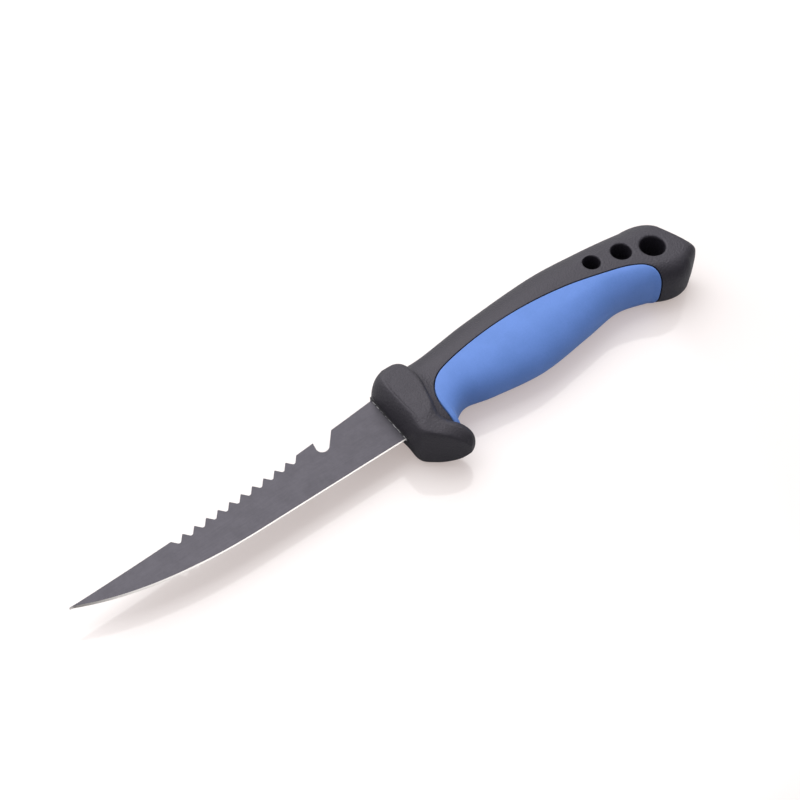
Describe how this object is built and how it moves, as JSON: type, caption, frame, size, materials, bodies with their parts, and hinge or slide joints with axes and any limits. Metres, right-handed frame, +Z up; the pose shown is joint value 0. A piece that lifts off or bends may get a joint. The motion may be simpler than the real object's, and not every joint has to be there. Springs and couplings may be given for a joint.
{
  "type": "fishing knife",
  "caption": "Fixed-blade fishing knife with scaler teeth and a hooked line notch on its spine, a raised guard, a soft grip let into a moulded handle and lanyard holes through the butt.",
  "frame": {"origin": "centre of the knife's footprint on the surface that it lies on", "axes": "+X along the knife from the blade's tip to the butt, +Y across the blade from the cutting edge to the spine, +Z up, across the thickness"},
  "size_m": [0.2374, 0.0412, 0.019],
  "materials": {
    "blade_steel": "dark satin coating with a bare sharpened edge",
    "pin_steel": "plain drawn steel, hidden",
    "guard_rubber": "matte black, finely grained",
    "core_plastic": "matte black, finely grained",
    "grip_rubber": "matte blue, velvety"
  },
  "bodies": {
    "root": {"blade": "blade_steel", "tang_pin_front": "pin_steel", "tang_pin_rear": "pin_steel", "mouth_seal": "guard_rubber", "guard": "guard_rubber", "handle_core": "core_plastic", "grip": "grip_rubber"}
  },
  "joints": []
}
